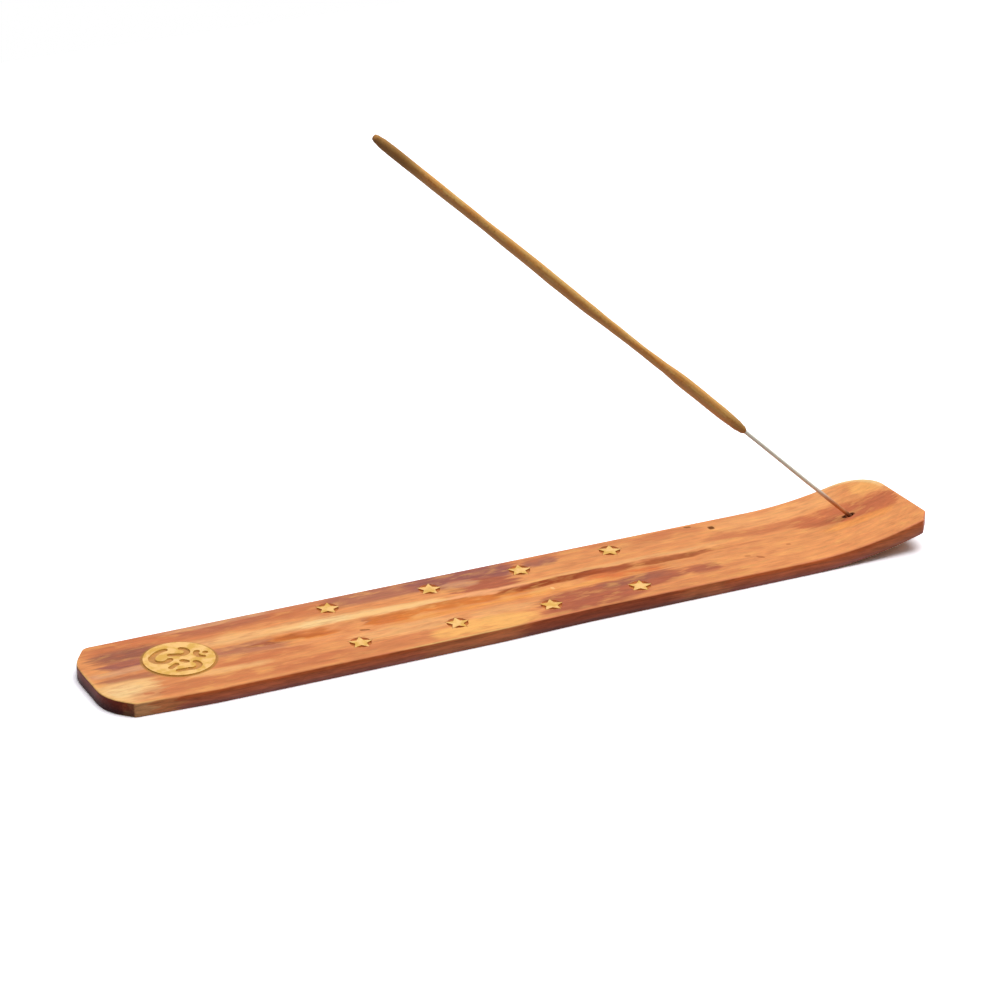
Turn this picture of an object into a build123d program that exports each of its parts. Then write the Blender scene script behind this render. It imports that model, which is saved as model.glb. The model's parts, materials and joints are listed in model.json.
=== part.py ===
from build123d import *
import os
from math import asin, cos, degrees, hypot, pi, radians, sin, sqrt

# Incense stick holder: a thin hardwood plank with one end curled up like the tip of a ski, brass inlay
# set into its top face, an ash groove along the middle, and an incense stick that stands in a slanted
# blind socket near the curled tip.
# Millimetres. X runs along the plank towards the curled tip, Y across it to the far long side, Z up.
# The origin lies on the table under the middle of the plank.

# Plank
PLANK_LENGTH = 254.5
PLANK_WIDTH = 39.0
PLANK_THICKNESS = 4.3
TOP_EASE = 0.5            # rounding along the rim of the top face
FOOT_EASE = 0.3           # rounding along the rim of the underside

# Curled tip
CURL_REACH = 42.4         # length of the curled stretch, measured along the table
CURL_RADIUS = 136.0       # radius of the curled top face

# Plan of the flat tail: both corners clipped, near side drawn in a little
TAIL_FAR_CLIP_LONG = 5.6
TAIL_FAR_CLIP_WIDE = 8.5
TAIL_FAR_CLIP_ROUND = 14.0   # rounding where the far clip meets the end
TAIL_FAR_CORNER_ROUND = 3.0  # rounding where the far clip meets the far side
TAIL_CLIP_LONG = 6.8
TAIL_CLIP_WIDE = 6.6
TAIL_CLIP_ROUND = 13.0    # rounding where the clip meets the end
TAIL_CORNER_ROUND = 1.8   # rounding where the clip meets the near side
TAIL_TAPER_LONG = 30.0
TAIL_TAPER_WIDE = 1.5
TAIL_TAPER_ROUND = 60.0   # rounding where the drawn-in side meets the straight side

# The hand-sawn sides: the near one steps in about half way along, the far one leans in towards the tip
NEAR_STEP_FROM_TAIL = 117.0
NEAR_STEP_LONG = 26.0
NEAR_STEP_WIDE = 0.95
NEAR_STEP_ROUND = 200.0
FAR_LEAN = 0.6

# Plan of the tip: end cut a little out of square, near corner clipped, far corner rounded
TIP_SKEW = 1.9            # how much shorter the far side is than the near side
TIP_CLIP_LONG = 2.9
TIP_CLIP_WIDE = 4.0
TIP_FAR_ROUND = 12.0
TIP_CLIP_ROUND = 1.2      # rounding at both ends of the clip

# Ash groove, a shallow round-bottomed trough that runs out at both ends
GROOVE_FROM_TAIL = 46.1
GROOVE_TO_CURL = 13.9     # level wood left between the groove and the curl
GROOVE_WIDTH = 7.8
GROOVE_DEPTH = 0.8
GROOVE_RUNOUT = 12.0
GROOVE_OFFSET_Y = -1.0

# Brass inlay, cut from one thickness of sheet: the disc stands a little proud, the stars are set flush
BRASS_THICKNESS = 0.45
DISC_DIAMETER = 20.1
DISC_PROUD = 0.3          # how far the disc stands above the wood
DISC_FROM_TAIL = 27.15    # disc centre, from the tail end
DISC_OFFSET_Y = 1.55
DISC_GAP = 0.2            # open gap round the disc in its pocket
STAR_OUTER_RADIUS = 3.6
STAR_INNER_RADIUS = 1.65
STAR_POINTS = 5
STAR_RECESS_RADIUS = 3.1  # round recess under each star, its points reach out past it
STAR_GAP = 0.12           # open gap round each star's points
STAR_FROM_TAIL = 76.4     # first star of each row, from the tail end
STAR_PITCH = 29.0
FAR_STARS_FROM_EDGE = 6.9
NEAR_STARS_FROM_EDGE = 8.35

# Each star is set by hand, so it strays from its place: along, across, and turn in degrees
FAR_STAR_STRAY = [(0.3, 0.6, -21), (2.3, -0.5, -19), (1.8, -0.3, -16), (2.0, 0.3, -24)]
NEAR_STAR_STRAY = [(0.1, 0.8, -16), (0.5, 0.3, -12), (0.3, -0.6, -16), (-0.6, -0.4, -22)]

# Strokes of the Om sign pierced through the disc, as drawn on the disc's centre
OM_ARCS = [               # centre x, centre y, radius, start angle, sweep, stroke width
    (-1.2, 1.2, 6.35, 95, 51, 1.8),      # upper arm of the large bowl
    (-4.6, 3.1, 2.6, 140, 182, 2.0),     # large bowl
    (1.75, 4.75, 1.95, 230, 192, 1.8),   # small bowl
    (7.4, 1.4, 2.1, 128, 118, 1.7),      # crescent
    (1.6, -3.9, 2.3, 238, 157, 1.8),     # end of the tail
]
OM_BARS = [               # from x, y, to x, y, stroke width
    (-1.5, 4.0, 0.7, 3.2, 1.8),          # start of the small bowl
    (0.4, -0.6, 1.2, -1.4, 1.9),         # start of the tail
    (-4.1, -3.3, -2.0, -2.0, 1.7),       # turn of the tail
    (-2.7, -5.65, 0.5, -6.0, 1.8),       # lead into the end of the tail
]
OM_DOT = (8.0, 1.6, 0.85)  # centre x, centre y, radius
OM_RIM = 1.1              # plain brass left beside the sign's dot
OM_OFFSET_Y = -1.05       # the sign sits a little low on the disc

# Incense stick and its socket
HOLE_FROM_TIP = 17.2      # middle of the hole's mouth, from the tip end
HOLE_OFFSET_Y = -0.25
STICK_LEAN = 43.24        # degrees above the table, leaning back over the plank
SOCKET_WOOD_BELOW = 1.87  # wood left under the middle of the socket's floor
SOCKET_GAP = 0.35         # open gap round the stick in its socket
CORE_DIAMETER = 1.2
STICK_LENGTH = 209.8
COAT_LENGTH = 157.5
COAT_FIT = 0.02           # between the bamboo core and the paste round it
COAT_TIP_COVER = 1.6      # paste over the end of the core

# The paste is rolled on by hand, so it varies: share of its length from the lower end, thickness
COAT_THICKNESS = [(0.0, 0.25), (0.008, 0.66), (0.0235, 0.92), (0.074, 1.19), (0.17, 1.22), (0.24, 0.81),
                  (0.3, 0.65), (0.37, 0.77), (0.45, 1.0), (0.54, 1.06), (0.62, 0.99), (0.73, 0.83),
                  (0.83, 0.91)]
# And at its blunt tip: depth below the top end, thickness
COAT_TIP_THICKNESS = [(8.0, 0.93), (3.8, 0.85), (1.0, 0.52), (0.0, 0.1)]

CUT_SPARE = 2.0           # how far cutting shapes run past the wood

HALF_LENGTH = PLANK_LENGTH / 2
HALF_WIDTH = PLANK_WIDTH / 2
CURL_START_X = HALF_LENGTH - CURL_REACH
STAR_FLOOR_Z = PLANK_THICKNESS - BRASS_THICKNESS
DISC_FLOOR_Z = STAR_FLOOR_Z + DISC_PROUD
OM_DRAWN_REACH = hypot(*OM_DOT[:2]) + OM_DOT[2]
MOUTH_X = HALF_LENGTH - HOLE_FROM_TIP
MOUTH_SLOPE = degrees(asin((MOUTH_X - CURL_START_X) / CURL_RADIUS))
SOCKET_DEPTH = (PLANK_THICKNESS - SOCKET_WOOD_BELOW) / sin(radians(STICK_LEAN + MOUTH_SLOPE))


def top_height(x):
    """Height of the plank's top face above the table at a place along its length."""
    reach = max(x - CURL_START_X, 0)
    return PLANK_THICKNESS + CURL_RADIUS - sqrt(CURL_RADIUS**2 - reach**2)


def bent_slab():
    """Flat slab whose end follows the curl, longer and wider than the plank."""
    bend_centre = (CURL_START_X, PLANK_THICKNESS + CURL_RADIUS)
    bend_angle = degrees(asin((CURL_REACH + CUT_SPARE) / CURL_RADIUS))
    under = CenterArc(bend_centre, CURL_RADIUS + PLANK_THICKNESS, start_angle=270, arc_size=bend_angle)
    top = CenterArc(bend_centre, CURL_RADIUS, start_angle=270, arc_size=bend_angle)
    tail_x = -HALF_LENGTH - CUT_SPARE
    straight = Polyline(top @ 0, (tail_x, PLANK_THICKNESS), (tail_x, 0), under @ 0)
    side = make_face(under + top + straight + Line(under @ 1, top @ 1))
    return extrude(Plane.XZ * side, HALF_WIDTH + CUT_SPARE, both=True)


def plank_outline():
    """Outline of the plank seen from above."""
    near_tail_y = -HALF_WIDTH + TAIL_TAPER_WIDE
    near_tip_y = -HALF_WIDTH + NEAR_STEP_WIDE
    step_x = -HALF_LENGTH + NEAR_STEP_FROM_TAIL
    corners = [
        ((-HALF_LENGTH, near_tail_y + TAIL_CLIP_WIDE), TAIL_CLIP_ROUND),
        ((-HALF_LENGTH + TAIL_CLIP_LONG, near_tail_y), TAIL_CORNER_ROUND),
        ((-HALF_LENGTH + TAIL_TAPER_LONG, -HALF_WIDTH), TAIL_TAPER_ROUND),
        ((step_x, -HALF_WIDTH), NEAR_STEP_ROUND),
        ((step_x + NEAR_STEP_LONG, near_tip_y), NEAR_STEP_ROUND),
        ((HALF_LENGTH - TIP_CLIP_LONG, near_tip_y), TIP_CLIP_ROUND),
        ((HALF_LENGTH, near_tip_y + TIP_CLIP_WIDE), TIP_CLIP_ROUND),
        ((HALF_LENGTH - TIP_SKEW, HALF_WIDTH - FAR_LEAN), TIP_FAR_ROUND),
        ((-HALF_LENGTH + TAIL_FAR_CLIP_LONG, HALF_WIDTH), TAIL_FAR_CORNER_ROUND),
        ((-HALF_LENGTH, HALF_WIDTH - TAIL_FAR_CLIP_WIDE), TAIL_FAR_CLIP_ROUND),
    ]
    points = [point for point, radius in corners]
    radii = [radius for point, radius in corners]
    return make_face(FilletPolyline(*points, radius=radii, close=True))


def rim(body, facing):
    """Edges between the top faces (facing 1) or the under faces (facing -1) and the sides."""
    fairly_level = 0.7
    faces = body.faces().filter_by(lambda face: face.normal_at().Z * facing > fairly_level)
    edges = [edge for face in faces for edge in face.edges()]
    return [edge for edge in edges if edges.count(edge) == 1]


def groove_cutter():
    """Long round bar that cuts the ash groove, its ends tapered so that the groove runs out."""
    radius = (GROOVE_WIDTH**2 / 4 + GROOVE_DEPTH**2) / (2 * GROOVE_DEPTH)
    tail_end_x = -HALF_LENGTH + GROOVE_FROM_TAIL
    curl_end_x = CURL_START_X - GROOVE_TO_CURL
    straight = curl_end_x - tail_end_x - 2 * GROOVE_RUNOUT
    taper_length = 2 * GROOVE_RUNOUT
    taper = Cone(radius, radius - 2 * GROOVE_DEPTH, taper_length)
    end = Pos(0, 0, (straight + taper_length) / 2) * taper
    bar = Cylinder(radius, straight) + end + Rot(180, 0, 0) * end
    axis_z = PLANK_THICKNESS + radius - GROOVE_DEPTH
    return Pos((tail_end_x + curl_end_x) / 2, GROOVE_OFFSET_Y, axis_z) * Rot(0, 90, 0) * bar


def star_shape():
    """Star with its first point along +Y."""
    step = pi / STAR_POINTS
    points = []
    for corner in range(2 * STAR_POINTS):
        radius = STAR_INNER_RADIUS if corner % 2 else STAR_OUTER_RADIUS
        points.append((-radius * sin(corner * step), radius * cos(corner * step)))
    return make_face(Polyline(*points, close=True))


def star_places():
    """Node name and place of every star, on the floor of its pocket."""
    rows = [
        ("far", HALF_WIDTH - FAR_STARS_FROM_EDGE, FAR_STAR_STRAY),
        ("near", NEAR_STARS_FROM_EDGE - HALF_WIDTH, NEAR_STAR_STRAY),
    ]
    places = {}
    for row, row_y, strays in rows:
        for number, (along, across, turn) in enumerate(strays):
            x = -HALF_LENGTH + STAR_FROM_TAIL + number * STAR_PITCH + along
            places[f"star_{row}_{number + 1}"] = Pos(x, row_y + across, STAR_FLOOR_Z) * Rot(0, 0, turn)
    return places


def disc_place():
    """Place of the disc, on the floor of its pocket."""
    return Pos(-HALF_LENGTH + DISC_FROM_TAIL, DISC_OFFSET_Y, DISC_FLOOR_Z)


def om_sign():
    """The Om sign as the strokes pierced through the disc."""
    sign = Pos(*OM_DOT[:2]) * Circle(OM_DOT[2])
    for x, y, radius, start, sweep, width in OM_ARCS:
        sign += SlotArc(CenterArc((x, y), radius, start, sweep), width)
    for from_x, from_y, to_x, to_y, width in OM_BARS:
        sign += SlotArc(Line((from_x, from_y), (to_x, to_y)), width)
    return Pos(0, OM_OFFSET_Y) * scale(sign, by=(DISC_DIAMETER / 2 - OM_RIM) / OM_DRAWN_REACH)


def stick_plane():
    """Plane on the socket's floor, with its normal along the stick."""
    mouth = Vector(MOUTH_X, HOLE_OFFSET_Y, top_height(MOUTH_X))
    along = Vector(-cos(radians(STICK_LEAN)), 0, sin(radians(STICK_LEAN)))
    return Plane(mouth - along * SOCKET_DEPTH, x_dir=(0, 1, 0), z_dir=along)


def plank():
    """Wooden plank with its groove, inlay pockets and slanted socket."""
    sheet = extrude(plank_outline(), top_height(HALF_LENGTH) + CUT_SPARE)
    body = bent_slab() & sheet
    body = fillet(rim(body, 1), TOP_EASE)
    body = fillet(rim(body, -1), FOOT_EASE)
    body -= groove_cutter()
    pocket_depth = BRASS_THICKNESS + CUT_SPARE
    body -= disc_place() * extrude(Circle(DISC_DIAMETER / 2 + DISC_GAP), pocket_depth)
    star_recess = Circle(STAR_RECESS_RADIUS) + offset(star_shape(), STAR_GAP)
    star_pocket = extrude(star_recess, pocket_depth)
    for place in star_places().values():
        body -= place * star_pocket
    socket_radius = CORE_DIAMETER / 2 + SOCKET_GAP
    socket = extrude(Circle(socket_radius), SOCKET_DEPTH + 2 * CUT_SPARE)
    return body - stick_plane() * socket


def om_disc():
    """Brass disc pierced with the Om sign."""
    return disc_place() * extrude(Circle(DISC_DIAMETER / 2) - om_sign(), BRASS_THICKNESS)


def star(place):
    """Brass star in its pocket."""
    return place * extrude(star_shape(), BRASS_THICKNESS)


def bamboo_core():
    """Bare bamboo stick, standing on the socket's floor."""
    return stick_plane() * extrude(Circle(CORE_DIAMETER / 2), STICK_LENGTH - COAT_TIP_COVER)


def incense_coat():
    """Hand-rolled paste round the upper part of the core, uneven along its length."""
    inner = CORE_DIAMETER / 2 + COAT_FIT
    bore_top = COAT_LENGTH - COAT_TIP_COVER + COAT_FIT
    flank = [(inner + thickness, share * COAT_LENGTH) for share, thickness in COAT_THICKNESS]
    flank += [(inner + thickness, COAT_LENGTH - depth) for depth, thickness in COAT_TIP_THICKNESS]
    bore = [(0, COAT_LENGTH), (0, bore_top), (inner, bore_top), (inner, 0)]
    half = make_face(Polyline(*flank, *bore, close=True))
    coat = revolve(Plane.XZ * half, Axis.Z)
    return stick_plane() * Pos(0, 0, STICK_LENGTH - COAT_LENGTH) * coat


os.makedirs("parts", exist_ok=True)
pieces = {"plank": plank(), "om_disc": om_disc()}
for name, place in star_places().items():
    pieces[name] = star(place)
pieces["bamboo_core"] = bamboo_core()
pieces["incense_coat"] = incense_coat()
for name, piece in pieces.items():
    export_step(piece, f"parts/{name}.step")
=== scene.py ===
import json
from math import atan2, cos, pi, radians, sin

import bpy
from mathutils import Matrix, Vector, noise


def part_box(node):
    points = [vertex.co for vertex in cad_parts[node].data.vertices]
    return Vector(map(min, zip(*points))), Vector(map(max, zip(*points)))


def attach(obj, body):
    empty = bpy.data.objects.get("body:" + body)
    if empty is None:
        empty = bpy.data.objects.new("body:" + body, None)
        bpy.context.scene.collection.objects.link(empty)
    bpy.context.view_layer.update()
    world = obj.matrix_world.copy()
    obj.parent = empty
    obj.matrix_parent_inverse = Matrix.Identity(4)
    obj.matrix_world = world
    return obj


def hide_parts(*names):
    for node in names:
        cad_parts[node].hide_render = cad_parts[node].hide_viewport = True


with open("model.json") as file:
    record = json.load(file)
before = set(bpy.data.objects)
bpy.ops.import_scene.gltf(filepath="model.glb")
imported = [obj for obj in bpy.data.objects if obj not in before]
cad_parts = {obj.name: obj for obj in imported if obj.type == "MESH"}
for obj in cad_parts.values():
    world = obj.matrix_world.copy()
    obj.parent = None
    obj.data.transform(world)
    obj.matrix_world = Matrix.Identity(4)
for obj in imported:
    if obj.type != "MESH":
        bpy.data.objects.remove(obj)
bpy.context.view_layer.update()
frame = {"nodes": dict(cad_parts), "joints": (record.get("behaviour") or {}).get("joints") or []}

# Metres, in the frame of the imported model: X along the plank towards the curled tip, Y across, Z up.
# The finishes count in millimetres of the same frame.
MM = 0.001
UP = (0, 0, 1)
TOWARDS_TIP = (1, 0, 0)

# Camera, as it stood for the photograph
CAMERA_PLACE = (-0.49540, -1.03344, 0.56515)
CAMERA_AZIMUTH = -25.36
CAMERA_ELEVATION = 24.79
CAMERA_LENS = 164.63

# Light: a very wide softbox overhead, a little to the right, and a room that is brighter above.
# The room's light grows between two heights, each the Z of a direction.
SOFTBOX_PLACE = (0.30, 0.02, 1.33)
SOFTBOX_SIZE = 1.3
SOFTBOX_POWER = 15.5
ROOM_HEIGHTS = (0.3, 0.95)
ROOM_LOW = 0.05
ROOM_HIGH = 0.54

# Floor: how it throws light back, and how it looks to the camera and in reflections
FLOOR_SIZE = 1.0
FLOOR_DROP = 0.05 * MM
FLOOR_BOUNCE = (0.35, 0.35, 0.35, 1)
FLOOR_SEEN = (1.62, 1.6, 1.68, 1)

# Incense stick as packed: the core's radius, the stick's direction, two directions square to it, its foot
core_low, core_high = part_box("bamboo_core")
CORE_RADIUS = (core_high.y - core_low.y) / 2
STICK_ALONG = Vector(frame["joints"][0]["axis"]).normalized()
STICK_ACROSS = Vector((0, 1, 0))
STICK_ABOVE = STICK_ACROSS.cross(STICK_ALONG)
STICK_FOOT = Vector((
    core_high.x - CORE_RADIUS * STICK_ALONG.z,
    (core_low.y + core_high.y) / 2,
    core_low.z - CORE_RADIUS * STICK_ALONG.x,
))
# Distances along the stick are from its foot, on the socket's floor
STICK_LENGTH = 209.8 * MM
COAT_START = 52.3 * MM
COAT_LENGTH = STICK_LENGTH - COAT_START
# Slight bow of the stick: distance along it and sideways shift, both in millimetres
STICK_BOW = [(0, 0), (20, 0), (48, 0.15), (80, 0.24), (100, 0), (125, -0.18), (150, 0), (210, 0)]

# Bamboo: how far it stops below the top of the paste, its corners and unevenness as shares of its radius,
# and the lengths over which the corners wind and the unevenness changes
BAMBOO_STOPS_BELOW = 2.5 * MM
BAMBOO_CORNERS = 0.03
BAMBOO_UNEVEN = 0.06
BAMBOO_WINDS = 30 * MM
BAMBOO_CHANGES = 5 * MM
BAMBOO_STEPS = 160
BAMBOO_SIDES = 16

# Paste on the core: share of its length from the lower end, thickness in millimetres
COAT_THICKNESS = [(0.0, 0.25), (0.006, 0.62), (0.0235, 0.92), (0.074, 1.19), (0.17, 1.22), (0.24, 0.81),
                  (0.3, 0.65), (0.37, 0.77), (0.45, 1.0), (0.54, 1.06), (0.62, 0.99), (0.73, 0.83),
                  (0.83, 0.91), (0.949, 0.93), (0.976, 0.85), (0.993, 0.56), (0.998, 0.3)]
# Unevenness of the paste: height in millimetres, how often it changes round the stick, length along it
COAT_LUMPS = (0.06, 0.9, 7 * MM)
COAT_GRAINS = (0.03, 4.0, 0.45 * MM)
COAT_STEPS = 480
COAT_SIDES = 28


def tint(red, green, blue):
    """A colour given as 0 to 255 screen values, as linear light."""
    def linear(value):
        share = value / 255
        return share / 12.92 if share <= 0.04045 else ((share + 0.055) / 1.055) ** 2.4
    return (linear(red), linear(green), linear(blue), 1)


# Stains of the wood
HONEY = tint(234, 154, 94)
PALE = tint(254, 202, 136)
BLOND = tint(255, 218, 156)
SAND = tint(253, 186, 106)
ROSE = tint(217, 158, 118)
PEACH = tint(255, 180, 126)
TANGERINE = tint(243, 157, 78)
AMBER = tint(217, 122, 50)
CORAL = tint(216, 110, 56)
RUST = tint(204, 115, 72)
WINE = tint(177, 94, 66)
PLUM = tint(158, 94, 72)
MAUVE = tint(158, 92, 80)
UMBER = tint(152, 62, 14)
BARK = tint(84, 40, 14)

# Figure of the plank's top, from the tail to the tip: start x, end x, y at start, y at end, half width,
# all in millimetres, then softness of the edge, stain and strength
# Along the groove the figure is partly painted: the dark UMBER and AMBER streaks at y 0 to 2 are dark
# figure and painted shade of its far wall, and the SAND and TANGERINE streaks at y -2 to -3.5 are stain and
# painted light on its near wall
FIGURE = [
    (-126, -58, 16.0, 16.5, 4.8, 0.9, RUST, 0.85),
    (-96, -68, 15.4, 15.6, 2.6, 0.9, MAUVE, 0.35),
    (-100, -50, 19.0, 18.4, 1.8, 0.8, ROSE, 0.8),
    (-123, -102, 10.4, 10.2, 3.2, 0.9, PLUM, 1.0),
    (-122, -105, 5.0, 5.0, 2.0, 0.9, MAUVE, 0.95),
    (-127, -109, 1.6, 1.6, 1.5, 0.8, ROSE, 0.8),
    (-126, -104, -2.4, -2.8, 2.0, 0.9, PLUM, 0.7),
    (-129, -110, -11.0, -10.6, 6.6, 0.6, PALE, 1.0),
    (-126, -115, -10.5, -10.0, 3.4, 0.9, BLOND, 0.6),
    (-112, -100, -8.5, -8.5, 1.6, 0.9, RUST, 0.4),
    (-100, -78, -9.5, -10.2, 1.8, 0.9, PALE, 0.5),
    (-119, -58, -14.6, -14.6, 3.2, 0.9, RUST, 0.65),
    (-94, -68, 0.5, -0.5, 3.2, 0.9, MAUVE, 0.65),
    (-94, -64, -6.0, -7.0, 2.6, 0.9, RUST, 0.75),
    (-94, -48, 7.6, 6.2, 2.8, 0.8, PALE, 0.6),
    (-81, -70, 0.2, 0.6, 1.1, 0.9, UMBER, 0.5),
    (-73, -53, 2.0, 0.4, 1.3, 0.9, AMBER, 0.9),
    (-72, -56, 1.8, 0.6, 0.8, 0.9, UMBER, 0.35),
    (-68, -46, 15.0, 15.0, 4.0, 0.9, RUST, 0.7),
    (-52, -17, 16.2, 15.5, 4.2, 0.7, MAUVE, 0.75),
    (-68, -20, 6.0, 5.0, 2.0, 0.7, PALE, 1.0),
    (-62, -46, 6.2, 5.8, 1.4, 0.9, BLOND, 0.6),
    (-25, 9, 16.4, 15.5, 5.4, 0.5, MAUVE, 1.0),
    (-16, 6, 10.0, 7.4, 4.2, 0.5, WINE, 0.95),
    (-16, -5, 12.0, 11.2, 2.0, 0.8, ROSE, 0.7),
    (-45, -40, 1.4, 0.8, 1.2, 0.8, PLUM, 0.6),
    (-44, -29, 0.6, 0.4, 2.3, 0.7, AMBER, 0.9),
    (-34, 8, 1.0, 1.2, 1.7, 0.7, AMBER, 0.9),
    (-34, -16, 4.4, 3.8, 1.3, 0.7, PALE, 0.85),
    (-18, 8, 3.8, 3.4, 1.3, 0.7, PEACH, 0.85),
    (-36, 8, -3.0, -3.0, 1.9, 0.8, TANGERINE, 0.8),
    (-52, -20, -8.0, -8.0, 2.8, 0.9, PALE, 0.4),
    (-68, -26, -15.0, -15.2, 3.6, 0.8, RUST, 0.55),
    (-31, 2, -16.0, -15.6, 3.8, 0.5, SAND, 0.95),
    (-22, -6, -13.4, -13.0, 2.4, 0.9, SAND, 0.7),
    (-18, 4, -9.4, -9.0, 2.4, 0.9, PALE, 0.3),
    (11, 22, 15.0, 15.0, 2.4, 0.8, MAUVE, 0.8),
    (5, 46, 17.8, 17.4, 1.9, 0.9, RUST, 0.4),
    (4, 68, 4.4, 4.2, 1.1, 0.8, PALE, 0.35),
    (-4, 16, 1.6, 2.0, 1.2, 0.7, UMBER, 0.8),
    (4, 40, 2.0, 1.7, 1.3, 0.7, UMBER, 0.95),
    (24, 50, -0.6, -1.9, 1.7, 0.8, CORAL, 0.75),
    (40, 66, 1.9, 1.6, 1.0, 0.8, UMBER, 0.75),
    (60, 82, 1.4, 0.8, 0.7, 0.9, RUST, 0.5),
    (6, 14, -1.8, -2.4, 1.8, 0.9, SAND, 0.6),
    (18, 28, -3.2, -3.2, 1.6, 0.9, SAND, 0.6),
    (-2, 38, -3.4, -3.4, 1.7, 0.8, TANGERINE, 0.6),
    (4, 51, -10.4, -8.2, 4.6, 0.4, WINE, 0.95),
    (24, 48, -7.0, -6.4, 2.2, 0.8, PLUM, 0.75),
    (3, 36, -15.8, -14.8, 2.6, 0.8, WINE, 0.95),
    (52, 63, -8.6, -8.4, 2.6, 0.6, WINE, 0.9),
    (36, 62, -15.5, -14.5, 2.6, 0.9, RUST, 0.3),
    (62, 68, -15.4, -15.0, 1.8, 0.9, RUST, 0.5),
    (45, 69, 15.4, 15.0, 2.3, 0.9, RUST, 0.6),
    (67, 108, 6.8, 5.6, 2.2, 0.9, RUST, 0.65),
    (93, 125, 4.8, 1.6, 4.5, 0.4, RUST, 1.0),
    (107, 125.5, -1.2, -1.6, 3.2, 0.5, RUST, 1.0),
    (104, 124.5, 2.0, 1.2, 3.4, 0.9, WINE, 0.35),
    (73, 114, 13.0, 13.5, 4.0, 0.9, PALE, 0.2),
    (116, 126, 12.5, 8.5, 3.4, 0.9, SAND, 0.6),
    (100, 122, -3.6, -5.4, 1.6, 0.9, TANGERINE, 0.6),
]

# Nicks and specks in the top, and painted shade at the socket's mouth, in the same form
MARKS = [
    (70.9, 72.8, 13.9, 13.9, 1.0, 0.8, BARK, 0.88),
    (64.6, 66.8, 17.4, 17.0, 0.5, 0.6, BARK, 0.6),
    (-47.4, -44.7, -2.0, -3.2, 0.5, 0.6, BARK, 0.8),
    # Painted shade in and round the socket's mouth, where the stick goes in
    (107.8, 111.9, 0.0, 0.0, 0.85, 0.7, BARK, 1.0),
    (74.6, 76.6, -9.0, -10.2, 0.7, 0.7, UMBER, 0.5),
    (71.6, 73.4, -7.3, -7.6, 0.5, 0.7, UMBER, 0.4),
    (86.2, 87.6, -5.5, -5.7, 0.5, 0.7, UMBER, 0.4),
    (12.6, 13.6, -0.8, -1.2, 0.8, 0.6, PALE, 0.8),
    (-116.5, -113.5, -13.8, -14.2, 0.6, 0.8, RUST, 0.7),
    (-112.5, -110.0, -15.0, -14.6, 0.5, 0.8, RUST, 0.7),
]

# Length and width in millimetres of the lines that make up a finish
CLOUD = (7.0, 2.6)
GROWTH_LINE = (40.0, 1.2)
FLECK = (5.0, 1.0)
FIBRE = (10.0, 0.32)
PORE = (3.0, 0.24)
RIM_PATCH = (16.0, 6.0)
SIDE_BAND = (22.0, 1.1)
SANDING_MARK = (6.0, 0.12)
BAMBOO_FIBRE = (14.0, 0.16)
PASTE_PATCH = (9.0, 2.5)
PASTE_STREAK = (12.0, 0.7)
# The same for the lines that bend the figure and the sides' tones, and their reach from lowest to highest
STRAY_ALONG = (14.0, 1.0, 9.0)
STRAY_ACROSS = (45.0, 10.0, 4.0)
STRAY_FRAYED = (10.0, 2.0, 3.0)
STRAY_SIDE = (9.0, 1.2, 14.0)

# From here on, a pair of numbers gives where a change starts and where it ends, in millimetres.
# Inlay: the field of the top that holds it, and where the disc's finish gives way to that of the stars
PLANK_TOP = 4.3
INLAY_START = (-113.0, -112.0)
INLAY_END = (60.0, 62.0)
INLAY_EDGE = (16.8, 17.2)
DISC_TO_STARS = (-86.0, -84.0)
# Pockets: their level, floors painted darker than the top as shade, and cut walls of pale bare wood painted
# lighter still against the shade in them. The groove lies below that level too, but is no pocket.
POCKET_LEVEL = (4.18, 4.25)
DISC_FLOOR_SHADE = tint(204, 145, 82)
STAR_FLOOR_SHADE = tint(196, 120, 64)
POCKET_WALL_PALE_AND_LIT = tint(255, 190, 130)
GROOVE_MIDDLE = -1.0
GROOVE_EDGE = (4.2, 4.4)
# Filler in a thin ring round the disc
disc_low, disc_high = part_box("om_disc")
DISC_MIDDLE = ((disc_low.x + disc_high.x) / 2 / MM, (disc_low.y + disc_high.y) / 2 / MM, PLANK_TOP)
FILLER_RING = (10.5, 11.1)
FILLER_LEVEL = (4.2, 4.27)
FILLER = tint(170, 124, 54)

# Rims: bare wood with painted highlight where the rounded rims catch the light, at the tail and along the
# middle, a stretch rubbed pale and one that is nearly whole
BARE_LIT_TAIL = tint(255, 200, 124)
BARE_LIT_MIDDLE = tint(240, 144, 100)
TAIL_TO_MIDDLE = (-116.0, -106.0)
PALE_RIM = (-42.0, -4.0)
WHOLE_RIM = (-107.0, -86.0)
# Far corner of the tip, chafed pale with painted highlight outside a circle, and the bow of the tail, worn
# pale with painted highlight outside one on its near half
FAR_TIP_ALONG = (106.0, 118.0)
FAR_TIP_ACROSS = (4.0, 12.0)
FAR_TIP_CENTRE = (113.6, 6.8, 8.0)
FAR_TIP_CIRCLE = (10.2, 11.6)
TAIL_BOW_ALONG = (-119.0, -116.0)
TAIL_BOW_ACROSS = (0.0, 8.0)
TAIL_BOW_CENTRE = (-93.7, 0.0, PLANK_TOP)
TAIL_BOW_CIRCLE = (32.0, 33.4)

# Sides of the plank: the stain they have drunk, redder under the rim, and painted shade with a painted
# reflection of the pale floor, darker and greyer towards the foot, which rises with the square of the
# distance past the start of the curl
SIDE_STAIN = tint(224, 123, 85)
SIDE_DARK = tint(146, 63, 45)
SIDE_LIGHT = tint(245, 157, 99)
SIDE_TOP = tint(234, 115, 52)
SIDE_TOP_LEVEL = (2.2, 3.6)
SIDE_FOOT_SHADE_AND_REFLECTION = tint(162, 113, 114)
SIDE_FOOT_SHADE_LEVEL = (0.0, 2.2)
CURL_START = 85.0
CURL_RISE = 0.0037
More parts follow.
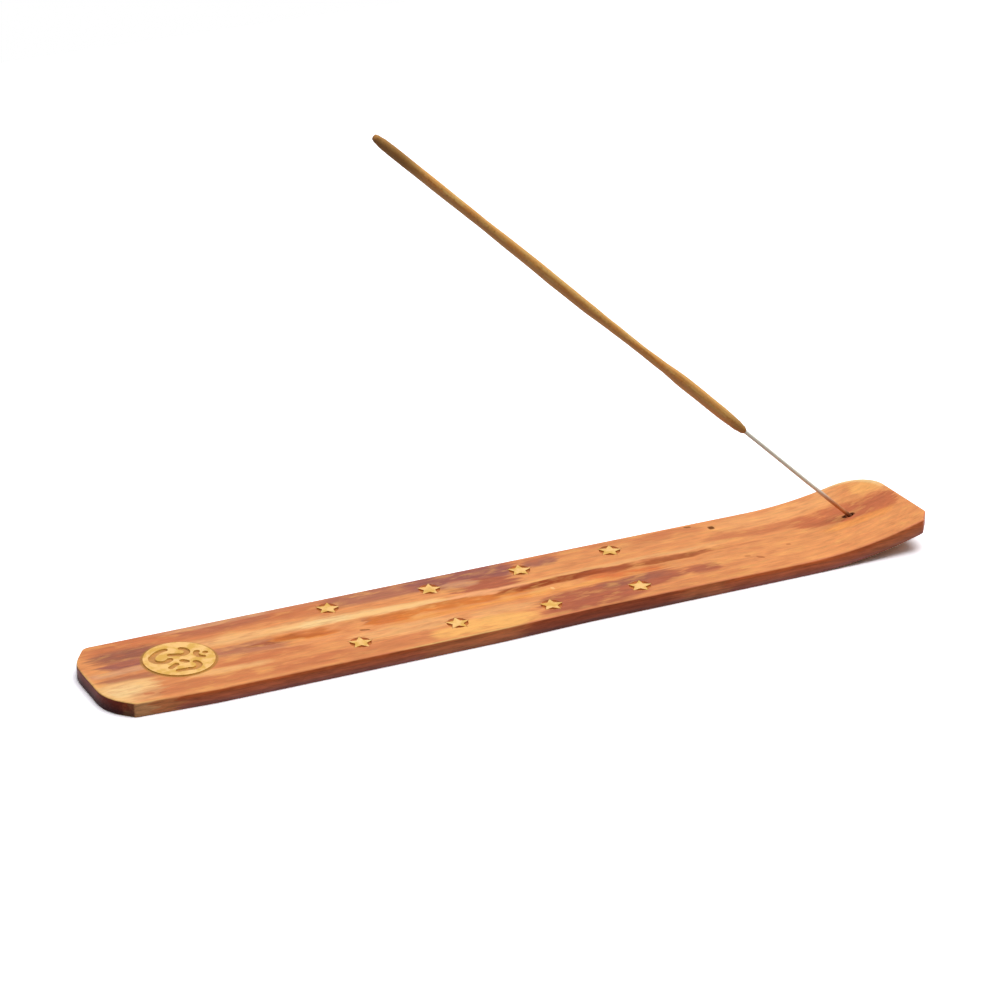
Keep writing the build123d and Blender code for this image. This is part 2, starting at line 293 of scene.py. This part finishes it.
# Stretches of another tone: start x, end x, tone, strength
SIDE_TONES = [
    (-122, -108, SIDE_LIGHT, 0.75),
    (-122, -115, BLOND, 0.35),
    (-36, -4, SIDE_LIGHT, 0.4),
    (-3, 42, SIDE_DARK, 0.55),
    (46, 60, SIDE_LIGHT, 0.3),
    (108, 124, SIDE_LIGHT, 0.2),
]
# Painted shade greys the foot along the middle
SIDE_MIDDLE_FOOT_SHADE = tint(100, 88, 84)
MIDDLE_FOOT_SHADE_STRETCH = (-6.0, 54.0)
MIDDLE_FOOT_SHADE_LEVEL = (0.3, 1.7)
# The tail end: end-grain stain with painted shade, as it faces away from the lamp, and more painted shade
# darkest at the foot
END_STAIN_AND_SHADE = tint(120, 44, 28)
END_FOOT_SHADE = tint(60, 20, 22)
END_LEVEL = (0.5, 3.6)
# A stretch is a streak so wide that it takes in both sides and rims
STRETCH_HALF_WIDTH = 40.0

# Brass: its blotches, its sanding marks, and the tarnished walls of the disc and of the stars
BRASS_DEEP = tint(218, 170, 77)
BRASS_BRIGHT = tint(240, 193, 120)
BRASS_SANDED = tint(200, 148, 62)
DISC_TARNISH = tint(240, 204, 108)
STAR_TARNISH = tint(204, 134, 58)

# Bamboo: its fibres, browner above the socket, and painted shade where it goes into it. Pairs are distances
# from the stick's foot.
BAMBOO_DULL = tint(250, 243, 218)
BAMBOO_CLEAN = tint(255, 253, 242)
BAMBOO_BROWN = tint(210, 126, 60)
BROWNED_END = (9.0, 22.0)
BAMBOO_SOCKET_SHADE = tint(84, 40, 16)
SOCKET_SHADE_END = (3.5, 6.5)

# Paste: its patches, streaks and powder, painted light on its upper side and painted light from the floor
# on its lower side, and its duller ends
PASTE_WARM = tint(250, 157, 67)
PASTE_SOFT = tint(240, 174, 92)
STREAK_DARK = tint(204, 113, 44)
STREAK_PALE = tint(255, 210, 124)
POWDER_DARK = tint(162, 96, 42)
POWDER_PALE = tint(255, 222, 158)
PASTE_LIT_ABOVE = tint(255, 206, 128)
PASTE_FLOOR_LIT_BELOW = tint(246, 190, 136)
PASTE_END = tint(142, 98, 58)
UPPER_END = (188.0, 199.0)
LOWER_END = (55.0, 63.0)


class Wiring:
    """Short calls for building one node tree."""

    def __init__(self, tree):
        self.tree = tree

    def node(self, kind, settings=None, inputs=None):
        made = self.tree.nodes.new(kind)
        for name, value in (settings or {}).items():
            setattr(made, name, value)
        for socket, value in (inputs or {}).items():
            self.feed(made.inputs[socket], value)
        return made

    def feed(self, socket, value):
        if isinstance(value, bpy.types.NodeSocket):
            self.tree.links.new(value, socket)
        else:
            socket.default_value = value

    def math(self, operation, *values):
        made = self.node("ShaderNodeMath", {"operation": operation})
        for socket, value in zip(made.inputs, values):
            self.feed(socket, value)
        return made.outputs[0]

    def all_of(self, mask, *others):
        """Where every one of the masks is."""
        for other in others:
            mask = self.math("MULTIPLY", mask, other)
        return mask

    def any_of(self, mask, *others):
        """Where at least one of the masks is."""
        for other in others:
            mask = self.math("MAXIMUM", mask, other)
        return mask

    def vector(self, operation, first, second):
        made = self.node("ShaderNodeVectorMath", {"operation": operation})
        self.feed(made.inputs[0], first)
        self.feed(made.inputs["Scale" if operation == "SCALE" else 1], second)
        return made.outputs["Value" if operation in ("DISTANCE", "DOT_PRODUCT") else "Vector"]

    def split(self, vector):
        return self.node("ShaderNodeSeparateXYZ", inputs={0: vector}).outputs

    def join(self, x, y, z):
        return self.node("ShaderNodeCombineXYZ", inputs={0: x, 1: y, 2: z}).outputs[0]

    def facing(self, direction):
        """1 where the surface faces a direction, -1 where it faces away from it."""
        return self.vector("DOT_PRODUCT", self.node("ShaderNodeNewGeometry").outputs["Normal"], direction)

    def smooth(self, value, low, high, low_gives, high_gives):
        settings = {"interpolation_type": "SMOOTHSTEP"}
        inputs = {0: value, 1: low, 2: high, 3: low_gives, 4: high_gives}
        return self.node("ShaderNodeMapRange", settings, inputs).outputs[0]

    def rise(self, value, low, high, most=1.0):
        return self.smooth(value, low, high, 0.0, most)

    def fade(self, value, low, high, most=1.0):
        return self.smooth(value, low, high, most, 0.0)

    def mix(self, factor, first, second, blend="MIX"):
        settings = {"data_type": "RGBA", "blend_type": blend}
        return self.node("ShaderNodeMix", settings, {0: factor, 6: first, 7: second}).outputs[2]

    def noise(self, vector, scale=1.0, detail=3.0, roughness=0.55):
        inputs = {"Vector": vector, "Scale": scale, "Detail": detail, "Roughness": roughness}
        return self.node("ShaderNodeTexNoise", inputs=inputs).outputs["Fac"]

    def group(self, tree, **inputs):
        made = self.node("ShaderNodeGroup", {"node_tree": tree})
        for name, value in inputs.items():
            self.feed(made.inputs[name.replace("_", " ")], value)
        return made.outputs[0]

    def lines(self, place, length, width):
        return self.group(DRAWN_LINES, Place=place, Length=length, Width=width)

    def stray(self, place, length, width, reach):
        """Lines centred on zero, with this reach from lowest to highest."""
        return self.math("MULTIPLY", self.math("SUBTRACT", self.lines(place, length, width), 0.5), reach)


def new_group(name, inputs, output):
    """A shader group with named inputs and one output, and its wiring, start and end nodes."""
    tree = bpy.data.node_groups.new(name, "ShaderNodeTree")
    for socket, kind in inputs.items():
        tree.interface.new_socket(socket, in_out="INPUT", socket_type=kind)
    tree.interface.new_socket(output, in_out="OUTPUT", socket_type="NodeSocketFloat")
    wire = Wiring(tree)
    return wire, wire.node("NodeGroupInput").outputs, wire.node("NodeGroupOutput").inputs


def drawn_lines_group():
    """Noise drawn out along X: fibres in wood and bamboo, sanding marks in brass."""
    inputs = {"Place": "NodeSocketVector", "Length": "NodeSocketFloat", "Width": "NodeSocketFloat"}
    wire, given, result = new_group("drawn_lines", inputs, "Lines")
    x, y, z = wire.split(given["Place"])
    drawn = wire.join(
        wire.math("DIVIDE", x, given["Length"]),
        wire.math("DIVIDE", y, given["Width"]),
        wire.math("DIVIDE", z, given["Width"]),
    )
    wire.feed(result["Lines"], wire.noise(drawn))
    return wire.tree


def stain_streak_group():
    """One long lens-shaped streak of stain between two places along X."""
    inputs = {"Place": "NodeSocketVector"}
    for name in ("Start X", "End X", "Start Y", "End Y", "Half Width", "Softness"):
        inputs[name] = "NodeSocketFloat"
    wire, given, result = new_group("stain_streak", inputs, "Mask")
    x, y, _ = wire.split(given["Place"])

    def from_start_to_end(start_gives, end_gives):
        places = {0: x, 1: given["Start X"], 2: given["End X"], 3: start_gives, 4: end_gives}
        return wire.node("ShaderNodeMapRange", {"clamp": False}, places).outputs[0]

    along = from_start_to_end(-1.0, 1.0)
    middle = from_start_to_end(given["Start Y"], given["End Y"])
    across = wire.math("DIVIDE", wire.math("SUBTRACT", y, middle), given["Half Width"])
    blunt_ends = 4.0
    out = wire.math("ADD", wire.math("POWER", wire.math("ABSOLUTE", along), blunt_ends),
                    wire.math("MULTIPLY", across, across))
    inner = wire.math("SUBTRACT", 1.0, given["Softness"])
    outer = wire.math("ADD", 1.0, given["Softness"])
    wire.feed(result["Mask"], wire.fade(out, inner, outer))
    return wire.tree


def worn_and_lit_edge_group():
    """The rounded rims, where the surface turns from level to upright, which take wear and painted
    highlight.
    """
    wire, _, result = new_group("worn_and_lit_edge", {}, "Mask")
    level = wire.facing(UP)
    wire.feed(result["Mask"], wire.all_of(wire.rise(level, 0.3, 0.65), wire.fade(level, 0.85, 0.97)))
    return wire.tree


DRAWN_LINES = drawn_lines_group()
STAIN_STREAK = stain_streak_group()
WORN_AND_LIT_EDGE = worn_and_lit_edge_group()


def new_material(name):
    """A material, its wiring, and its principled shader."""
    material = bpy.data.materials.new(name)
    material.use_nodes = True
    wire = Wiring(material.node_tree)
    return material, wire, material.node_tree.nodes["Principled BSDF"]


def place_in_mm(wire):
    """Place on the object in millimetres of the frame."""
    place = wire.node("ShaderNodeTexCoord").outputs["Object"]
    return wire.vector("SCALE", place, 1 / MM)


def bump(wire, shader, height, depth):
    """Feeds a height to the shader's normal, depth in metres."""
    made = wire.node("ShaderNodeBump", inputs={"Height": height, "Distance": depth, "Strength": 1.0})
    wire.feed(shader.inputs["Normal"], made.outputs[0])


def streak(wire, place, start_x, end_x, start_y, end_y, half_width, softness):
    """Mask of one streak of the figure."""
    return wire.group(STAIN_STREAK, Place=place, Start_X=start_x, End_X=end_x, Start_Y=start_y,
                      End_Y=end_y, Half_Width=half_width, Softness=softness)


def stretch(wire, place, start_x, end_x, softness):
    """Mask of the sides and rims between two places along X."""
    return streak(wire, place, start_x, end_x, 0.0, 0.0, STRETCH_HALF_WIDTH, softness)


def figured_top(wire, place):
    """Colour of the plank's top, and the mask of its dark nicks and of the painted shade at the socket's
    mouth.
    """
    wander = wire.join(
        wire.stray(place, *STRAY_ALONG),
        wire.math("ADD", wire.stray(place, *STRAY_ACROSS), wire.stray(place, *STRAY_FRAYED)),
        0.0,
    )
    wandering = wire.vector("ADD", place, wander)
    colour = HONEY
    for *shape, stain, strength in FIGURE:
        mask = streak(wire, wandering, *shape)
        colour = wire.mix(wire.math("MULTIPLY", mask, strength), colour, stain)
    cloud = wire.lines(wandering, *CLOUD)
    colour = wire.mix(wire.rise(cloud, 0.5, 0.72, most=0.4), colour, RUST)
    colour = wire.mix(wire.fade(cloud, 0.28, 0.5, most=0.4), colour, SAND)
    nicks_and_socket_shade = 0.0
    for *shape, stain, strength in MARKS:
        mask = streak(wire, place, *shape)
        colour = wire.mix(wire.math("MULTIPLY", mask, strength), colour, stain)
        if stain == BARK:
            nicks_and_socket_shade = wire.any_of(nicks_and_socket_shade, mask)
    return colour, nicks_and_socket_shade


def inlay_field(wire, place):
    """Mask of the field that holds the inlay, with all that is cut into it."""
    x, y, _ = wire.split(place)
    return wire.all_of(
        wire.fade(wire.math("ABSOLUTE", y), *INLAY_EDGE),
        wire.rise(x, *INLAY_START),
        wire.fade(x, *INLAY_END),
    )


def pocket_floors(wire, place, field, colour):
    """Darkens the floors of the pockets under the disc and the stars with painted shade."""
    x, y, z = wire.split(place)
    disc_end = wire.fade(x, *DISC_TO_STARS)
    from_groove = wire.math("ABSOLUTE", wire.math("SUBTRACT", y, GROOVE_MIDDLE))
    no_groove = wire.any_of(disc_end, wire.rise(from_groove, *GROOVE_EDGE))
    pocket = wire.all_of(field, wire.fade(z, *POCKET_LEVEL), no_groove)
    return wire.mix(pocket, colour, wire.mix(disc_end, STAR_FLOOR_SHADE, DISC_FLOOR_SHADE))


def stained_side(wire, place):
    """Colour of the plank's sides, which have drunk more stain than its top, with painted shade darkening
    and greying them towards the foot.
    """
    x, _, z = wire.split(place)
    moved = wire.join(wire.math("ADD", x, wire.stray(place, *STRAY_SIDE)), 0.0, 0.0)
    curled = wire.math("MAXIMUM", wire.math("SUBTRACT", x, CURL_START), 0.0)
    foot = wire.math("MULTIPLY", wire.math("MULTIPLY", curled, curled), CURL_RISE)
    height = wire.math("SUBTRACT", z, foot)
    colour = wire.mix(wire.rise(height, *SIDE_TOP_LEVEL, most=0.75), SIDE_STAIN, SIDE_TOP)
    # Painted shade with a painted reflection of the floor, darker and greyer towards the foot
    colour = wire.mix(wire.fade(height, *SIDE_FOOT_SHADE_LEVEL, most=0.8), colour, SIDE_FOOT_SHADE_AND_REFLECTION)
    for start_x, end_x, tone, strength in SIDE_TONES:
        mask = stretch(wire, moved, start_x, end_x, softness=0.8)
        colour = wire.mix(wire.math("MULTIPLY", mask, strength), colour, tone)
    # Painted shade along the foot of the middle stretch
    middle_foot_shade = stretch(wire, moved, *MIDDLE_FOOT_SHADE_STRETCH, softness=0.6)
    middle_foot_shade = wire.all_of(middle_foot_shade, wire.fade(height, *MIDDLE_FOOT_SHADE_LEVEL, most=0.5))
    colour = wire.mix(middle_foot_shade, colour, SIDE_MIDDLE_FOOT_SHADE)
    band = wire.rise(wire.lines(place, *SIDE_BAND), 0.35, 0.65)
    return wire.mix(wire.math("MULTIPLY", band, 0.2), colour, SIDE_DARK)


def dark_end(wire, place, field, colour):
    """Darkens the tail's end, the face turned from the lamp, with end-grain stain and painted shade that is
    darkest at the foot, but not the pocket walls that face the same way.
    """
    end = wire.all_of(wire.fade(wire.facing(TOWARDS_TIP), -0.8, -0.45), wire.math("SUBTRACT", 1.0, field))
    height = wire.split(place)[2]
    return wire.mix(end, colour, wire.mix(wire.rise(height, *END_LEVEL), END_FOOT_SHADE, END_STAIN_AND_SHADE))


def rubbed_and_lit_rims(wire, place, level, colour):
    """Rubs the rims down to pale wood in patches, most of all at the far tip and along the middle, the same
    pale serving as painted highlight where the rounded rims catch the light.
    """
    x, y, _ = wire.split(place)
    patchy = wire.smooth(wire.lines(place, *RIM_PATCH), 0.4, 0.6, 0.35, 0.9)
    far_tip = wire.all_of(wire.rise(x, *FAR_TIP_ALONG), wire.rise(y, *FAR_TIP_ACROSS))
    pale_rim = stretch(wire, place, *PALE_RIM, softness=0.7)
    whole_rim = stretch(wire, place, *WHOLE_RIM, softness=0.7)
    rubbed_and_lit = wire.any_of(patchy, far_tip, pale_rim)
    rubbed_and_lit = wire.all_of(rubbed_and_lit, wire.smooth(whole_rim, 0.0, 1.0, 1.0, 0.2))
    bare_and_lit = wire.mix(wire.rise(x, *TAIL_TO_MIDDLE), BARE_LIT_TAIL, BARE_LIT_MIDDLE)
    bare_and_lit = wire.mix(pale_rim, bare_and_lit, BARE_LIT_TAIL)
    bare_and_lit = wire.mix(far_tip, bare_and_lit, BLOND)
    colour = wire.mix(wire.all_of(wire.group(WORN_AND_LIT_EDGE), rubbed_and_lit), colour, bare_and_lit)

    # Pale wear with painted highlight on the rims of the far tip and the tail's bow
    chafed_and_lit_tip = wire.all_of(
        wire.rise(wire.vector("DISTANCE", place, FAR_TIP_CENTRE), *FAR_TIP_CIRCLE),
        wire.rise(level, 0.2, 0.6, most=0.8),
        far_tip,
    )
    colour = wire.mix(chafed_and_lit_tip, colour, BLOND)
    worn_and_lit_tail = wire.all_of(
        wire.rise(wire.vector("DISTANCE", place, TAIL_BOW_CENTRE), *TAIL_BOW_CIRCLE),
        wire.rise(level, 0.4, 0.7),
        wire.fade(x, *TAIL_BOW_ALONG, most=0.35),
        wire.fade(y, *TAIL_BOW_ACROSS),
    )
    return wire.mix(worn_and_lit_tail, colour, BARE_LIT_TAIL)


def filler_ring(wire, place, colour):
    """Lays olive filler in a thin ring round the disc, on the top alone."""
    ring = wire.fade(wire.vector("DISTANCE", place, DISC_MIDDLE), *FILLER_RING, most=0.75)
    on_top = wire.rise(wire.split(place)[2], *FILLER_LEVEL)
    return wire.mix(wire.all_of(ring, on_top), colour, FILLER)


def wood_grain(wire, place, upright):
    """Tone of growth lines, flecks, fibres and pores, bolder on the rough sides, and the last two."""
    bold = wire.smooth(upright, 0.0, 1.0, 1.0, 2.4)
    growth = wire.stray(place, *GROWTH_LINE, reach=0.3)
    fleck = wire.stray(place, *FLECK, reach=0.45)
    fibre = wire.lines(place, *FIBRE)
    pore = wire.rise(wire.lines(place, *PORE), 0.62, 0.72)
    tone = wire.math("ADD", wire.math("ADD", growth, fleck), wire.smooth(fibre, 0.3, 0.7, -0.05, 0.05))
    tone = wire.math("ADD", wire.math("MULTIPLY", tone, bold), 1.02)
    tone = wire.math("MULTIPLY", tone, wire.math("SUBTRACT", 1.0, wire.math("MULTIPLY", pore, 0.15)))
    return tone, fibre, pore


def plank_wood():
    """Streaky orange hardwood under a thin satin varnish."""
    material, wire, shader = new_material("plank_wood")
    place = place_in_mm(wire)
    level = wire.facing(UP)
    upright = wire.fade(wire.math("ABSOLUTE", level), 0.25, 0.7)
    field = inlay_field(wire, place)

    colour, nicks_and_socket_shade = figured_top(wire, place)
    colour = pocket_floors(wire, place, field, colour)
    # Cut walls in the inlay's field: pale bare wood, with painted light to lift the shade in the pockets
    wall = wire.mix(field, stained_side(wire, place), POCKET_WALL_PALE_AND_LIT)
    colour = wire.mix(upright, colour, wall)
    colour = dark_end(wire, place, field, colour)
    colour = rubbed_and_lit_rims(wire, place, level, colour)
    colour = filler_ring(wire, place, colour)
    tone, fibre, pore = wood_grain(wire, place, upright)
    colour = wire.mix(1.0, colour, wire.join(tone, tone, tone), "MULTIPLY")
    wire.feed(shader.inputs["Base Color"], colour)

    dullness = wire.any_of(wire.smooth(fibre, 0.2, 0.8, 0.45, 0.6), nicks_and_socket_shade)
    wire.feed(shader.inputs["Roughness"], dullness)
    shader.inputs["Specular IOR Level"].default_value = 0.11
    height = wire.math("SUBTRACT", wire.math("MULTIPLY", fibre, 0.5), wire.any_of(pore, nicks_and_socket_shade))
    bump(wire, shader, height, depth=0.03 * MM)
    return material


def inlay_brass():
    """Sanded sheet brass, tarnished where no sanding reached."""
    material, wire, shader = new_material("inlay_brass")
    place = place_in_mm(wire)
    sanding = wire.lines(place, *SANDING_MARK)
    blotch = wire.noise(place, scale=0.3, detail=4.0)
    colour = wire.mix(wire.rise(blotch, 0.4, 0.6), BRASS_DEEP, BRASS_BRIGHT)
    colour = wire.mix(wire.rise(sanding, 0.55, 0.75, most=0.3), colour, BRASS_SANDED)
    tarnish = wire.fade(wire.facing(UP), 0.3, 0.7)
    disc_end = wire.fade(wire.split(place)[0], *DISC_TO_STARS)
    colour = wire.mix(tarnish, colour, wire.mix(disc_end, STAR_TARNISH, DISC_TARNISH))
    wire.feed(shader.inputs["Base Color"], colour)
    wire.feed(shader.inputs["Metallic"], wire.math("SUBTRACT", 1.0, tarnish))
    wire.feed(shader.inputs["Roughness"], wire.smooth(sanding, 0.3, 0.7, 0.32, 0.48))
    bump(wire, shader, sanding, depth=0.01 * MM)
    return material


def along_stick(wire):
    """Place on the stick turned so that X runs along it, and distance from its foot, in millimetres."""
    turn = atan2(STICK_ALONG.z, STICK_ALONG.x)
    turned = wire.node("ShaderNodeVectorRotate", {"rotation_type": "Y_AXIS"}, {
        "Vector": place_in_mm(wire), "Angle": turn}).outputs[0]
    from_foot = wire.math("SUBTRACT", wire.split(turned)[0], STICK_FOOT.dot(STICK_ALONG) / MM)
    return turned, from_foot


def split_bamboo():
    """Raw split bamboo, with duller fibres, browner above the socket and painted shade where it goes into
    it.
    """
    material, wire, shader = new_material("split_bamboo")
    place, from_foot = along_stick(wire)
    fibre = wire.lines(place, *BAMBOO_FIBRE)
    colour = wire.mix(wire.rise(fibre, 0.3, 0.7), BAMBOO_DULL, BAMBOO_CLEAN)
    colour = wire.mix(wire.fade(from_foot, *BROWNED_END, most=0.9), colour, BAMBOO_BROWN)
    # Painted shade at the foot, where the stick goes into the socket
    colour = wire.mix(wire.fade(from_foot, *SOCKET_SHADE_END, most=0.85), colour, BAMBOO_SOCKET_SHADE)
    wire.feed(shader.inputs["Base Color"], colour)
    shader.inputs["Roughness"].default_value = 0.6
    shader.inputs["Specular IOR Level"].default_value = 0.2
    bump(wire, shader, fibre, depth=0.04 * MM)
    return material


def rolled_paste():
    """Matt incense paste: fine wood powder rolled by hand, in streaks along the stick."""
    material, wire, shader = new_material("rolled_paste")
    place, from_foot = along_stick(wire)
    patch = wire.lines(place, *PASTE_PATCH)
    rolled = wire.lines(place, *PASTE_STREAK)
    powder = wire.noise(place, scale=1.5, detail=4.0, roughness=0.7)
    above = wire.facing(STICK_ABOVE)
    colour = wire.mix(wire.rise(patch, 0.35, 0.65), PASTE_WARM, PASTE_SOFT)
    colour = wire.mix(wire.rise(rolled, 0.48, 0.68, most=0.65), colour, STREAK_DARK)
    colour = wire.mix(wire.fade(rolled, 0.32, 0.48, most=0.7), colour, STREAK_PALE)
    colour = wire.mix(wire.rise(powder, 0.52, 0.7, most=0.75), colour, POWDER_DARK)
    colour = wire.mix(wire.fade(powder, 0.3, 0.46, most=0.45), colour, POWDER_PALE)
    # Painted light: the upper side paler, and the lower side paler and greyer as if lit from the floor
    colour = wire.mix(wire.rise(above, -0.1, 0.8, most=0.55), colour, PASTE_LIT_ABOVE)
    colour = wire.mix(wire.fade(above, -0.8, 0.35, most=0.8), colour, PASTE_FLOOR_LIT_BELOW)
    colour = wire.mix(wire.rise(from_foot, *UPPER_END, most=0.6), colour, PASTE_END)
    colour = wire.mix(wire.fade(from_foot, *LOWER_END, most=0.45), colour, PASTE_END)
    wire.feed(shader.inputs["Base Color"], colour)
    shader.inputs["Roughness"].default_value = 0.9
    shader.inputs["Specular IOR Level"].default_value = 0.1
    bump(wire, shader, powder, depth=0.08 * MM)
    return material


def between(stations, at):
    """Value at a place between given stations, easing from one to the next."""
    for (low, low_value), (high, high_value) in zip(stations, stations[1:]):
        if at <= high:
            share = max((at - low) / (high - low), 0)
            ease = share * share * (3 - 2 * share)
            return low_value + (high_value - low_value) * ease
    return stations[-1][1]


def tube(name, distances, radius_at, segments, material):
    """Closed round piece along the stick, with a radius for each distance and angle."""
    points = []
    for distance in distances:
        bow = between(STICK_BOW, distance / MM) * MM
        middle = STICK_FOOT + STICK_ALONG * distance + STICK_ABOVE * bow
        for step in range(segments):
            angle = 2 * pi * step / segments
            outward = STICK_ACROSS * cos(angle) + STICK_ABOVE * sin(angle)
            points.append(middle + outward * radius_at(distance, angle))
    rings = len(distances)
    faces = []
    for ring in range(rings - 1):
        low, high = ring * segments, (ring + 1) * segments
        for step in range(segments):
            beside = (step + 1) % segments
            faces.append((low + step, low + beside, high + beside, high + step))
    faces.append(tuple(reversed(range(segments))))
    faces.append(tuple(range((rings - 1) * segments, rings * segments)))
    mesh = bpy.data.meshes.new(name)
    mesh.from_pydata(points, [], faces)
    mesh.polygons.foreach_set("use_smooth", [True] * len(faces))
    mesh.materials.append(material)
    piece = bpy.data.objects.new(name, mesh)
    bpy.context.scene.collection.objects.link(piece)
    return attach(piece, "stick")


def bamboo_stick(material):
    """Split bamboo: a rounded square in section, a little uneven along its length."""
    def radius_at(distance, angle):
        corners = BAMBOO_CORNERS * cos(4 * angle + distance / BAMBOO_WINDS)
        uneven = BAMBOO_UNEVEN * noise.noise(Vector((distance / BAMBOO_CHANGES, cos(angle), sin(angle))))
        return CORE_RADIUS * (1 - BAMBOO_CORNERS + corners + uneven)

    top = STICK_LENGTH - BAMBOO_STOPS_BELOW
    distances = [top * step / BAMBOO_STEPS for step in range(BAMBOO_STEPS + 1)]
    piece = tube("bamboo_stick", distances, radius_at, BAMBOO_SIDES, material)
    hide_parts("bamboo_core")


def paste_coat(material):
    """Incense paste rolled on the bamboo: uneven girth, soft lumps and a grainy skin."""
    def radius_at(distance, angle):
        thickness = between(COAT_THICKNESS, (distance - COAT_START) / COAT_LENGTH)
        around = Vector((cos(angle), sin(angle), 0))
        for height, changes, length in (COAT_LUMPS, COAT_GRAINS):
            thickness += height * noise.noise(around * changes + Vector((0, 0, distance / length)))
        return CORE_RADIUS + thickness * MM

    last = COAT_THICKNESS[-1][0]
    distances = [COAT_START + COAT_LENGTH * last * step / COAT_STEPS for step in range(COAT_STEPS + 1)]
    piece = tube("paste_coat", distances, radius_at, COAT_SIDES, material)
    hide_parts("incense_coat")


def dress_nodes(material, *names):
    """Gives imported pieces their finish."""
    for name in names:
        materials = frame["nodes"][name].data.materials
        materials.clear()
        materials.append(material)


def seen_directly(wire):
    """1 for what the camera, a reflection or glass looks at, 0 for light on its way."""
    path = wire.node("ShaderNodeLightPath").outputs
    return wire.any_of(path["Is Camera Ray"], path["Is Glossy Ray"], path["Is Transmission Ray"])


def white_floor():
    """Pale floor that reads as white where it is lit and keeps the shadow."""
    bpy.ops.mesh.primitive_plane_add(size=FLOOR_SIZE, location=(0, 0, -FLOOR_DROP))
    floor = bpy.context.object
    floor.name = "floor"
    material = bpy.data.materials.new("floor_white")
    material.use_nodes = True
    wire = Wiring(material.node_tree)
    colour = wire.mix(seen_directly(wire), FLOOR_BOUNCE, FLOOR_SEEN)
    paint = wire.node("ShaderNodeBsdfDiffuse", inputs={"Color": colour})
    wire.feed(material.node_tree.nodes["Material Output"].inputs["Surface"], paint.outputs[0])
    floor.data.materials.append(material)


def even_room():
    """Surroundings that look white, and light the plank dimly all round and more from above."""
    world = bpy.data.worlds.new("room")
    bpy.context.scene.world = world
    world.use_nodes = True
    wire = Wiring(world.node_tree)
    up = wire.split(wire.node("ShaderNodeTexCoord").outputs["Generated"])[2]
    light = wire.smooth(up, *ROOM_HEIGHTS, ROOM_LOW, ROOM_HIGH)
    background = world.node_tree.nodes["Background"].inputs
    background["Color"].default_value = (1, 1, 1, 1)
    wire.feed(background["Strength"], wire.any_of(seen_directly(wire), light))


def softbox():
    """Very wide lamp overhead, a little to the right, turned to the plank."""
    lamp = bpy.data.lights.new("softbox", "AREA")
    lamp.size = SOFTBOX_SIZE
    lamp.energy = SOFTBOX_POWER
    holder = bpy.data.objects.new("softbox", lamp)
    holder.location = SOFTBOX_PLACE
    holder.rotation_euler = Vector(SOFTBOX_PLACE).to_track_quat("Z", "Y").to_euler()
    bpy.context.scene.collection.objects.link(holder)


def camera():
    """Camera at the photograph's viewpoint."""
    view = bpy.data.cameras.new("camera")
    view.lens = CAMERA_LENS
    stand = bpy.data.objects.new("camera", view)
    stand.location = CAMERA_PLACE
    stand.rotation_euler = (radians(90 - CAMERA_ELEVATION), 0, radians(CAMERA_AZIMUTH))
    bpy.context.scene.collection.objects.link(stand)
    bpy.context.scene.camera = stand


bpy.context.scene.view_settings.view_transform = "Standard"
camera()
even_room()
softbox()
white_floor()

dress_nodes(plank_wood(), "plank")
inlay = [name for name in frame["nodes"] if name.startswith(("om_", "star_"))]
dress_nodes(inlay_brass(), *inlay)
bamboo_stick(split_bamboo())
paste_coat(rolled_paste())
